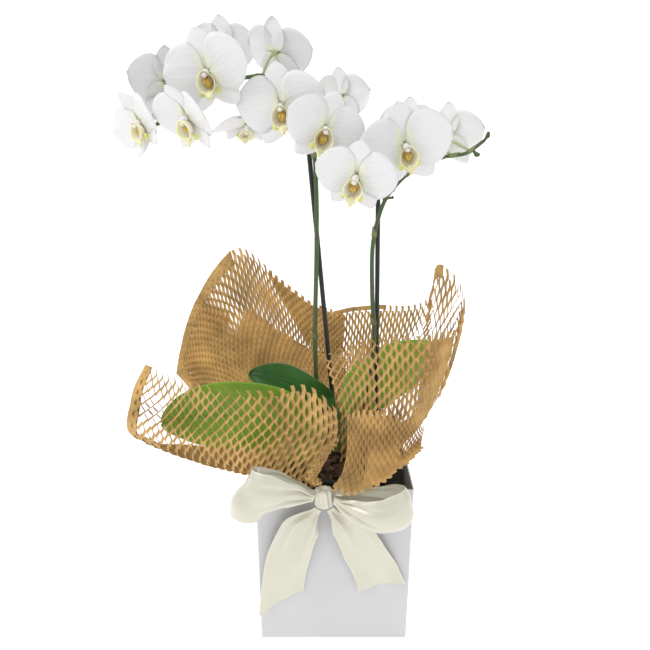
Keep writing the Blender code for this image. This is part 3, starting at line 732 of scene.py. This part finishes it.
def add_petal(shape, to_world, angle, length, half_width, lift, cup, curl, roundness, chance):
    """One petal or sepal: a rounded blade that starts narrow at the flower's middle."""
    out = Vector((math.cos(math.radians(angle)), math.sin(math.radians(angle)), 0.0))
    side = Vector((-out.y, out.x, 0.0))
    waves = [(chance.uniform(0.4, 1.0), chance.uniform(0, math.tau)) for _ in range(3)]
    sag = chance.uniform(-0.5, 1.0)
    start = 0.0015

    def place(u, v):
        reach = v**0.92
        across = 2.0 * u - 1.0
        width = half_width * max(math.sin(math.pi * min(reach, 0.999) ** 0.82), 0.0) ** roundness + 0.0008 * (1 - v)
        radius = start + length * reach
        rim = across**2
        ruffle = sum(size * math.sin(turn + (3 + 2 * n) * across + 4 * reach) for n, (size, turn) in enumerate(waves))
        height = lift + cup * radius**2 / length + curl * length * reach**3
        height += half_width * (0.10 * rim * (sag - 0.9) + 0.035 * ruffle * rim * reach)
        height -= half_width * 0.05 * math.exp(-(across / 0.12) ** 2) * (1 - reach)
        return to_world(out * radius + side * across * width + Vector((0, 0, height)))

    shape.grid(14, 16, place)


def add_lip(shape, to_world, size):
    """The lip: an open oval cup and a tongue below it."""
    def cup(u, v):
        turn = math.tau * u
        spread = 0.30 + 0.70 * v**0.7
        pinch = 1.0 - 0.22 * max(0.0, math.cos(turn))
        x = 0.0092 * math.sin(turn) * spread * pinch
        y = -0.0088 + 0.0108 * math.cos(turn) * spread
        z = 0.0028 + 0.0108 * v**1.6 - 0.0022 * max(0.0, math.cos(turn)) * v
        z += 0.0008 * math.sin(3 * turn + 1.0) * v
        return to_world(Vector((x, y, z)) * size)

    def tongue(u, v):
        across = 2.0 * u - 1.0
        width = 0.0016 + 0.0042 * math.sin(math.pi * min(v * 1.25, 1.0)) * (1 - 0.4 * v)
        y = -0.0165 - 0.0085 * v
        z = 0.0105 + 0.0050 * math.sin(2.0 * v) - 0.0020 * across**2
        return to_world(Vector((across * width, y, z)) * size)

    shape.grid(28, 10, cup, 0)
    shape.grid(6, 8, tongue, 1)


def add_column(shape, to_world, turn, size):
    """Column with its cap, the yellow callus below it, and the lip's two yellow-green horns."""
    def spot(x, y, z, a, b, c):
        centre = to_world(Vector((x, y, z)) * size)
        return Matrix.Translation(centre) @ turn.to_4x4() @ Matrix.Diagonal((a * size, b * size, c * size, 1.0))

    shape.ball(spot(0.0, -0.0005, 0.0052, 0.0030, 0.0034, 0.0052), finish=0)
    shape.ball(spot(0.0, -0.0022, 0.0094, 0.0027, 0.0024, 0.0026), finish=0)
    shape.ball(spot(0.0, -0.0098, 0.0066, 0.0030, 0.0044, 0.0030), finish=1)
    for side in (-1, 1):
        shape.ball(spot(side * 0.0016, -0.0088, 0.0092, 0.0014, 0.0022, 0.0016), finish=1)
        shape.ball(spot(side * 0.0082, -0.0178, 0.0080, 0.0026, 0.0036, 0.0022), finish=2)


def add_bract(shape, route, share, radius, finish=0):
    """Small sheath that clasps the stem at a node and ends in a point."""
    along = tangent(route, share)
    side = along.cross(Vector((0.0, 1.0, 0.03))).normalized()
    centre = catmull(route, share)

    def place(u, v):
        turn = (u - 0.5) * math.radians(300) * (1 - v**1.5)
        flare = radius * (1.12 + 0.25 * v)
        around = Matrix.Rotation(turn, 3, along) @ side
        return centre + around * flare + along * (0.011 * v - 0.002)

    shape.grid(12, 6, place, finish)


def honeycomb(shape, sheet, weave):
    """Slit and stretched paper: upright strips that zigzag from joint to joint and tilt out of the sheet."""
    cell, pitch, strip, tilt, plain = weave
    cells = max(2, round(sheet.height / cell))
    rows = max(6, round(sheet.width / pitch))
    bond = 0.16
    pitch = sheet.width / rows
    starts = (-bond / 2, bond / 2, 0.5 - bond / 2, 0.5 + bond / 2)

    for row in range(rows - 1):
        def place(u, v, row=row):
            column = round(u * 4 * cells)
            top = v > 0.5
            share = (column // 4 + starts[column % 4] + 0.5 * (row % 2) + 0.05) / (cells + 0.55)
            level = (row + 0.5) / rows
            lean = tilt * (0.72 + 0.9 * noise.noise(Vector((level * 5.0, share * 4.0, 0.5 + rows))))
            lean *= 0.35 + 0.65 * smooth(0.48, 0.74, share)
            lean = math.radians(min(max(lean, 24.0), 66.0))
            flat_share, lift = strip * math.cos(lean) / pitch, strip * math.sin(lean)
            if column % 4 < 2:
                across, height = (row + flat_share, lift) if top else (row, 0.0)
            else:
                across, height = (row + 1, 0.0) if top else (row + 1 - flat_share, -lift)
            u, v = (across + 0.5) / rows, share
            return sheet.at(u, v) + sheet.normal(u, v) * height

        shape.grid(4 * cells, 1, place, smoothed=False)
    bmesh.ops.remove_doubles(shape.bm, verts=shape.bm.verts, dist=2e-5)
    for low_u, high_u, low_v, high_v in plain:
        def patch(u, v):
            u, v = low_u + (high_u - low_u) * u, low_v + (high_v - low_v) * v
            return sheet.at(u, v) + sheet.normal(u, v) * 0.0004

        shape.grid(12, 40, patch)
    return (rows - 1) * strip * sheet.mean_width / sheet.width, sheet.height * 1.05


def ribbon_place(name):
    """Function for a ribbon piece's points, with pleats that fade away from the knot and a cut end."""
    route, half_widths, across, pleats, cut = BANDS[name]
    loop = "loop" in name
    outward = 1 if name == "ribbon_loop_right" else -1

    def place(u, v):
        spread = 2.0 * v - 1.0
        share = u if loop else u * (1.0 - abs(cut) * (0.5 + 0.5 * math.copysign(spread, spread * cut)))
        along = tangent(route, share)
        side = Vector(across)
        side = (side - along * side.dot(along)).normalized()
        out = along.cross(side)
        width = value_at(half_widths, share)
        near = min(share, 1.0 - share) * 2.0 if loop else share
        gather = math.exp(-((near / 0.42) ** 2))
        turn = spread * math.pi * pleats * 0.5 + 0.6 + 1.3 * near
        fold = (math.sin(turn) + 0.4 * math.sin(1.9 * turn + 1.0)) * 0.0024 * gather * smooth(0.0, 0.12, near)
        slow = math.sin(spread * 2.6 + 7.0 * share + 0.5) + 0.35 * math.sin(spread * 5.5 - 4.0 * share)
        slow = slow * (0.0012 if loop else 0.0022) * (1.0 - gather)
        belly = (0.0070 if loop else 0.0022) * (1.0 - spread**2) * smooth(0.1, 0.5, near)
        return catmull(route, share) + side * width * spread + out * (fold + slow + belly) * outward

    return place


# Operators ---------------------------------------------------------------------------------------------------------

class OrchidOperator(bpy.types.Operator):
    """Adds a part of the potted orchid"""
    bl_options = {"REGISTER", "UNDO"}

    def execute(self, context):
        self.build(context.scene)
        return {"FINISHED"}


class ORCHID_OT_stage(OrchidOperator):
    """Adds the floor, the lights and the camera"""
    bl_idname = "orchid.stage"
    bl_label = "Stage"

    def build(self, scene):
        settings = scene.orchid_stage
        shape = Shape()

        def sweep(u, v):
            bend = max(0.0, v - 0.7) / 0.3
            depth = -2.0 + 4.0 * min(v, 0.7) / 0.7 + math.sin(bend * math.pi / 2) * 0.6
            rise = (1 - math.cos(bend * math.pi / 2)) * 0.6 + max(0, bend - 0.98) * 60
            return Vector(((u - 0.5) * 8.0, depth, rise))

        shape.grid(4, 40, sweep)
        mesh = bpy.data.meshes.new("floor")
        shape.bm.to_mesh(mesh)
        shape.bm.free()
        floor = bpy.data.objects.new("floor", mesh)
        scene.collection.objects.link(floor)
        finish = Finish("pale floor", Roughness=0.7, Specular_IOR_Level=0.2, Emission_Color=(1.0, 1.0, 1.0, 1.0),
                        Emission_Strength=0.45)
        pale = tuple(settings.floor)
        shade = finish.blend(finish.cloud(3.0) * 0.2, pale, tuple(c * 0.99 for c in pale))
        mesh.materials.append(finish.surface(shade))

        world = bpy.data.worlds.new("soft room")
        world.use_nodes = True
        world.node_tree.nodes["Background"].inputs["Color"].default_value = (1.0, 1.0, 1.0, 1.0)
        world.node_tree.nodes["Background"].inputs["Strength"].default_value = settings.sky
        scene.world = world
        scene.view_settings.view_transform = "Standard"

        middle = (CAD_BOX[0] + CAD_BOX[1]) / 2
        lights = (
            ("key", (-0.80, -0.45, 1.45), 0.6, settings.key, (1.0, 0.99, 0.97)),
            ("fill", (1.1, -0.9, 0.75), 1.0, settings.key * 0.22, (0.96, 0.98, 1.0)),
            ("back", (0.3, 1.1, 1.3), 0.9, settings.key * 0.45, (1.0, 1.0, 1.0)),
        )
        for name, place, size, power, colour in lights:
            lamp = bpy.data.lights.new(name, "AREA")
            lamp.size, lamp.energy, lamp.color = size, power, colour
            holder = bpy.data.objects.new(name, lamp)
            holder.location = place
            holder.rotation_euler = (middle - Vector(place)).to_track_quat("-Z", "Y").to_euler()
            scene.collection.objects.link(holder)

        camera = bpy.data.cameras.new("camera")
        camera.sensor_width, camera.lens, camera.clip_start = 36.0, 32.12, 0.01
        holder = bpy.data.objects.new("camera", camera)
        holder.location = (-0.009, -0.5437, 0.5015)
        holder.rotation_euler = (math.radians(90 - 18.58), 0.0, 0.0)
        scene.collection.objects.link(holder)
        scene.camera = holder


class ORCHID_OT_box(OrchidOperator):
    """Adds the gift box and the card riser inside it"""
    bl_idname = "orchid.box"
    bl_label = "Gift box"

    def build(self, scene):
        settings = scene.orchid_box
        card = card_finish(settings)
        for node in ("gift_box", "pot_riser"):
            centre, half = extent(node)
            low, high = centre - half, centre + half
            shape = Shape()
            bmesh.ops.create_cube(shape.bm, size=1.0, matrix=stretched(centre, half * 2))
            open_side = 1.0 if node == "gift_box" else -1.0
            ends = [f for f in shape.bm.faces if f.normal.z * open_side > 0.5]
            bmesh.ops.delete(shape.bm, geom=ends, context="FACES_ONLY")
            folds = [e for e in shape.bm.edges if not e.is_boundary]
            bmesh.ops.bevel(
                shape.bm, geom=folds, offset=0.0016, segments=3, affect="EDGES", profile=0.5, material=-1)
            if node == "gift_box":
                inner = Vector((low.x + settings.wall + 0.0004, high.y - settings.wall - 0.0004, 0.0))

                def flap(u, v):
                    reach = 0.020 * u * (1.0 - 0.25 * max(0.0, v - 0.9) * 10)
                    return Vector((inner.x, inner.y - reach, low.z + 0.004 + (high.z - low.z - 0.006) * v))

                shape.grid(4, 12, flap, smoothed=False)
            for face in shape.bm.faces:
                face.smooth = False
            shape.finish(node.replace("_", "-") + "-card", "white card", [card], [node],
                         thickness=settings.wall, offset=-1.0, bevel=0.0003)


class ORCHID_OT_pot(OrchidOperator):
    """Adds the nursery pot and the bark in it"""
    bl_idname = "orchid.pot"
    bl_label = "Pot and bark"

    def build(self, scene):
        low, high = (Vector(corner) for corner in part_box("nursery_pot"))
        top, foot, lip = high.z, low.z, high.x
        rim, wall = lip - 0.003, 0.0011
        outline = ((0.0, foot + 0.002), (0.036, foot + 0.002), (0.037, foot), (0.043, foot), (0.0445, foot + 0.002),
                   (rim, top - 0.0065), (lip - 0.0006, top - 0.006), (lip, top - 0.005), (lip, top - 0.001),
                   (lip - 0.0008, top), (rim - wall, top), (rim - wall, top - 0.006), (0.0438, foot + wall + 0.002),
                   (0.0, foot + wall + 0.002))
        shape = Shape()
        shape.lathe(outline)
        for face in shape.bm.faces:
            face.smooth = abs(face.normal.z) < 0.5
        black = plain_finish("black plastic", (0.022, 0.022, 0.024), 0.42, 260.0, 0.2)
        shape.finish("pot-shell", "black plastic", [black], ["nursery_pot"])

        chance = random.Random(BARK_SEED)
        low, high = (Vector(corner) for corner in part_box("bark_medium"))
        reach = high.x - 0.006
        shape = Shape()
        shape.lathe(((0.0, low.z), (0.0430, low.z), (high.x - 0.0012, high.z - 0.006), (reach, high.z - 0.004),
                     (0.0, high.z - 0.004)), 48)
        for _ in range(scene.orchid_box.chips):
            turn, away = chance.uniform(0, math.tau), reach * math.sqrt(chance.random())
            size = chance.uniform(0.003, 0.0075)
            height = high.z - 0.0035 + chance.uniform(0, 0.004)
            centre = Vector((math.cos(turn) * away, math.sin(turn) * away, height))
            tilt = Matrix.Rotation(chance.uniform(0, math.tau), 4, "Z")
            tilt @= Matrix.Rotation(chance.uniform(-0.8, 0.8), 4, "X")
            flat = Matrix.Diagonal((size, size * chance.uniform(0.5, 0.8), size * chance.uniform(0.25, 0.45), 1.0))
            made = bmesh.ops.create_icosphere(
                shape.bm, subdivisions=1, radius=1.0, matrix=Matrix.Translation(centre) @ tilt @ flat)
            for vert in made["verts"]:
                vert.co += Vector([chance.uniform(-1, 1) for _ in range(3)]) * size * 0.18
        shape.finish("bark-chips", "bark", [bark_finish()], ["bark_medium"])


class ORCHID_OT_plant(OrchidOperator):
    """Adds the leaves, the crown and the two flower spikes"""
    bl_idname = "orchid.plant"
    bl_label = "Leaves and spikes"

    def build(self, scene):
        leaves = {
            "sunlit leaf": leaf_finish("sunlit leaf", (0.270, 0.470, 0.030), (0.165, 0.350, 0.020),
                                       (0.40, 0.48, 0.08)),
            "deep green leaf": leaf_finish("deep green leaf", (0.040, 0.175, 0.022), (0.016, 0.095, 0.012),
                                           (0.05, 0.16, 0.02)),
        }
        for name, (points, across, half_width, fold, finish) in LEAVES.items():
            shape = Shape()

            def place(u, v):
                along = tangent(points, v)
                side = Vector(across)
                side = (side - along * side.dot(along)).normalized()
                share = 2.0 * u - 1.0
                width = half_width * (0.28 + 0.72 * math.sin(math.pi * min(1.0, 0.12 + 0.75 * v)) ** 0.8)
                width *= math.sqrt(max(0.0004, 1.0 - max(0.0, (v - 0.62) / 0.38) ** 2))
                dish = fold * (1.0 - share**2) - 0.0012 * math.exp(-((share / 0.07) ** 2))
                wave = 0.0012 * math.sin(7.0 * v + 2.0 * share) * share**2
                return catmull(points, v) + side * width * share + along.cross(side) * (dish + wave)

            shape.grid(24, 56, place)
            shape.finish(name.replace("_", "-"), "green leaf", [leaves[finish]], [name],
                         thickness=LEAF_WALL, rounds=1)

        stem = stem_finish()
        sheath = leaf_finish("node sheath", (0.200, 0.235, 0.075), (0.130, 0.160, 0.050), (0.26, 0.22, 0.10))
        for name, route, nodes in (("spike_left", LEFT_SPIKE, LEFT_NODES), ("spike_right", RIGHT_SPIKE, RIGHT_NODES)):
            shape = Shape()

            def radius_at(v):
                swell = sum(0.30 * math.exp(-((v - node) / 0.006) ** 2) for node in nodes)
                joints = [f[7] for f in FLOWERS.values() if name.endswith(f[6])]
                swell += sum(0.35 * math.exp(-((v - joint) / 0.006) ** 2) for joint in joints)
                return (0.0024 - 0.0009 * v) * (1.0 + swell)

            shape.tube(route, radius_at, 16, 200, aside=Vector((0.0, 1.0, 0.03)))
            for node in nodes:
                add_bract(shape, route, node, 0.0024, 1)
            for flower in FLOWERS.values():
                if name.endswith(flower[6]) and flower[7] < 0.97:
                    add_bract(shape, route, flower[7], 0.0019, 1)
            replaced = [name] + (["bud_tip", "bud_side"] if name == "spike_right" else [])
            if name == "spike_right":
                for node, route_end in (("bud_tip", 1.0), ("bud_side", 0.93)):
                    end, size = extent(node)
                    start = catmull(route, route_end)
                    shape.tube((start, start.lerp(end, 0.5), end), lambda v: 0.0010 + 0.0009 * v, 10, 6)
                    shape.ball(stretched(end, size), 12, 8)
            shape.finish(name.replace("_", "-"), "green stem", [stem, sheath], replaced)

        centre, size = extent("plant_crown")
        foot = centre.z - size.z
        shape = Shape()
        shape.ball(stretched(centre, size), 24, 18)
        for side in (-1, 1):
            for step in range(3):
                def sheath_place(u, v, side=side, step=step):
                    turn = (u - 0.5) * math.pi
                    height = foot + 0.006 + 0.010 * step + 0.018 * v
                    flare = 1.08 + 0.10 * v * v
                    return Vector((centre.x + side * size.x * flare * math.cos(turn),
                                   centre.y + size.y * flare * math.sin(turn), height))

                shape.grid(12, 6, sheath_place, 1)
        shape.finish("crown", "green stem", [stem, sheath], ["plant_crown"])


class ORCHID_OT_stakes(OrchidOperator):
    """Adds the two stakes and their clips"""
    bl_idname = "orchid.stakes"
    bl_label = "Stakes and clips"

    def build(self, scene):
        black = plain_finish("coated stake", (0.012, 0.016, 0.014), 0.38, 300.0, 0.3)
        for name, (low, high) in STAKES.items():
            shape = Shape()
            middle = Vector(low).lerp(Vector(high), 0.5)
            shape.tube((low, middle, high), lambda v: 0.0023 - 0.0003 * smooth(0.98, 1.0, v), 16, 60)
            shape.finish(name.replace("_", "-"), "black plastic", [black], [name])
        for name in ("clip_left", "clip_right"):
            centre, size = extent(name)
            reach = Vector((size.x, 0.0, size.z))
            shape = Shape()
            bar = (centre - reach, centre, centre + reach)
            shape.tube(bar, lambda v: 0.0010, 12, 10)
            for end in (bar[0], bar[2]):
                shape.ball(stretched(end, (0.0014, 0.0013, 0.0014)), 10, 8)
            shape.finish(name.replace("_", "-"), "black plastic", [black], [name])


class ORCHID_OT_flowers(OrchidOperator):
    """Adds every flower with its lip and stalk"""
    bl_idname = "orchid.flowers"
    bl_label = "Flowers"

    def build(self, scene):
        settings = scene.orchid_flower
        white = tuple(settings.white)
        petal = petal_finish("white petal", white, tuple(settings.base), settings.vein)
        stalk = plain_finish("pale stalk", (0.46, 0.50, 0.26), 0.45, 120.0, 0.3)
        lip = lip_finish()
        tongue = plain_finish("lip tongue", (0.86, 0.83, 0.50), 0.45, 500.0, 0.2, Subsurface_Weight=0.2,
                              Subsurface_Scale=0.001)
        column = plain_finish("column", (0.88, 0.83, 0.84), 0.4, 300.0, 0.12, Subsurface_Weight=0.2,
                              Subsurface_Scale=0.001)
        callus = plain_finish("callus", (0.80, 0.55, 0.10), 0.4, 1200.0, 0.5)
        horn = plain_finish("lip horn", (0.72, 0.74, 0.20), 0.4, 400.0, 0.2)
        for number, (centre, yaw, pitch, roll, half_span, cup, spike, share) in FLOWERS.items():
            chance = random.Random(int(number) * FLOWER_SEED)
            turn = facing(yaw, pitch, roll)
            middle = Vector(centre)

            def to_world(point):
                return middle + turn @ point

            shape = Shape()
            for angle, length, width in ((90, 0.88, 0.32), (-56, 0.92, 0.30), (-124, 0.92, 0.30)):
                add_petal(shape, to_world, angle + chance.uniform(-3, 3), length * half_span - 0.0015,
                          width * half_span, -0.0010, cup, -0.10, 0.60, chance)
            for angle in (9, 171):
                add_petal(shape, to_world, angle + chance.uniform(-3, 3), half_span - 0.0015, 0.585 * half_span,
                          0.0012, cup, -0.07, 0.56, chance)
            shape.finish(f"petals-{number}", "white petal", [petal], [f"flower_{number}"],
                         thickness=settings.gauge)

            route = LEFT_SPIKE if spike == "left" else RIGHT_SPIKE
            back = turn @ Vector((0.0, 0.0, -1.0))
            joint = catmull(route, share)
            elbow = middle + back * 0.011
            end = joint + (elbow - joint).normalized() * 0.0012
            shape = Shape()
            shape.tube((middle + back * 0.0005, elbow, elbow.lerp(end, 0.5) + Vector((0, 0, 0.001)), end),
                       lambda v: 0.0013 + 0.0010 * math.exp(-v / 0.08), 12, 24)
            shape.finish(f"stalk-{number}", "green stem", [stalk])

            size = min(1.0, half_span / 0.034) * 0.86
            shape = Shape()
            add_lip(shape, to_world, size)
            shape.finish(f"lip-{number}", "yellow lip", [lip, tongue], [f"lip_{number}"], thickness=LIP_WALL)
            shape = Shape()
            add_column(shape, to_world, turn, size)
            shape.finish(f"column-{number}", "yellow lip", [column, callus, horn])


class ORCHID_OT_paper(OrchidOperator):
    """Adds the sheets of honeycomb paper"""
    bl_idname = "orchid.paper"
    bl_label = "Honeycomb paper"

    def build(self, scene):
        settings = scene.orchid_paper
        kraft = kraft_finish(settings)
        noise.seed_set(CRUMPLE_SEED)
        for name, rows in SHEETS.items():
            shape, sheet = Shape(), Sheet(rows)
            for crease in CREASES.get(name, ()):
                sheet.crease(*crease)
            flat = honeycomb(shape, sheet, WEAVES[name])
            piece = shape.finish(name.replace("_", "-"), "kraft paper", [kraft], [name],
                                 thickness=settings.gauge)


class ORCHID_OT_ribbon(OrchidOperator):
    """Adds the bow: its knot, loops and tails"""
    bl_idname = "orchid.ribbon"
    bl_label = "Ribbon bow"

    def build(self, scene):
        settings = scene.orchid_ribbon
        satin = satin_finish(settings)
        centre, size = extent("ribbon_knot")
        size *= KNOT_FULLNESS
        size.x *= KNOT_BREADTH
        shape = Shape()

        def wrap(u, v):
            turn = math.tau * u
            spread = 2.0 * v - 1.0
            closing = math.sqrt(max(0.0, 1.0 - abs(spread) ** 7))
            waist = closing * (1.02 - 0.14 * (1 - spread**2) + 0.085 * math.sin(9 * turn + 2.0 * spread))
            across, deep = size.x * math.cos(turn) * waist, size.y * math.sin(turn) * waist
            return centre + Vector((across, deep, size.z * spread))

        shape.grid(72, 36, wrap, weld=True)
        knot = shape.finish("ribbon-knot", "ivory satin", [satin], ["ribbon_knot"], thickness=settings.gauge,
                            offset=-1.0)
        for name, (route, *_) in BANDS.items():
            shape = Shape()
            shape.grid(96, 36, ribbon_place(name))
            piece = shape.finish(name.replace("_", "-"), "ivory satin", [satin], [name],
                                 thickness=settings.gauge)
            length_of(route)
        foam = plain_finish("adhesive foam", (0.72, 0.70, 0.60), 0.9, 900.0, 0.2)
        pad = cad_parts["bow_pad"].data.materials
        pad.clear()
        pad.append(foam)


class ORCHID_PT_panel(bpy.types.Panel):
    """Lists the orchid's operators and settings"""
    bl_idname = "ORCHID_PT_panel"
    bl_label = "Potted orchid"
    bl_space_type = "VIEW_3D"
    bl_region_type = "UI"
    bl_category = "Orchid"

    def draw(self, context):
        for operator in OPERATORS:
            self.layout.operator(operator.bl_idname)
        for name, group in SETTINGS.items():
            column = self.layout.column(align=True)
            for key in group.__annotations__:
                column.prop(getattr(context.scene, name), key)


SETTINGS = {
    "orchid_stage": OrchidStageSettings,
    "orchid_box": OrchidBoxSettings,
    "orchid_flower": OrchidFlowerSettings,
    "orchid_paper": OrchidPaperSettings,
    "orchid_ribbon": OrchidRibbonSettings,
}
OPERATORS = (
    ORCHID_OT_stage, ORCHID_OT_box, ORCHID_OT_pot, ORCHID_OT_plant, ORCHID_OT_stakes, ORCHID_OT_flowers,
    ORCHID_OT_paper, ORCHID_OT_ribbon,
)


def register():
    for group in (*SETTINGS.values(), *OPERATORS, ORCHID_PT_panel):
        bpy.utils.register_class(group)
    for name, group in SETTINGS.items():
        setattr(bpy.types.Scene, name, bpy.props.PointerProperty(type=group))


def unregister():
    for name in SETTINGS:
        delattr(bpy.types.Scene, name)
    for group in (ORCHID_PT_panel, *reversed(OPERATORS), *reversed(tuple(SETTINGS.values()))):
        bpy.utils.unregister_class(group)


def main():
    register()
    for operator in OPERATORS:
        family, name = operator.bl_idname.split(".")
        getattr(getattr(bpy.ops, family), name)()


if __name__ == "__main__":
    main()
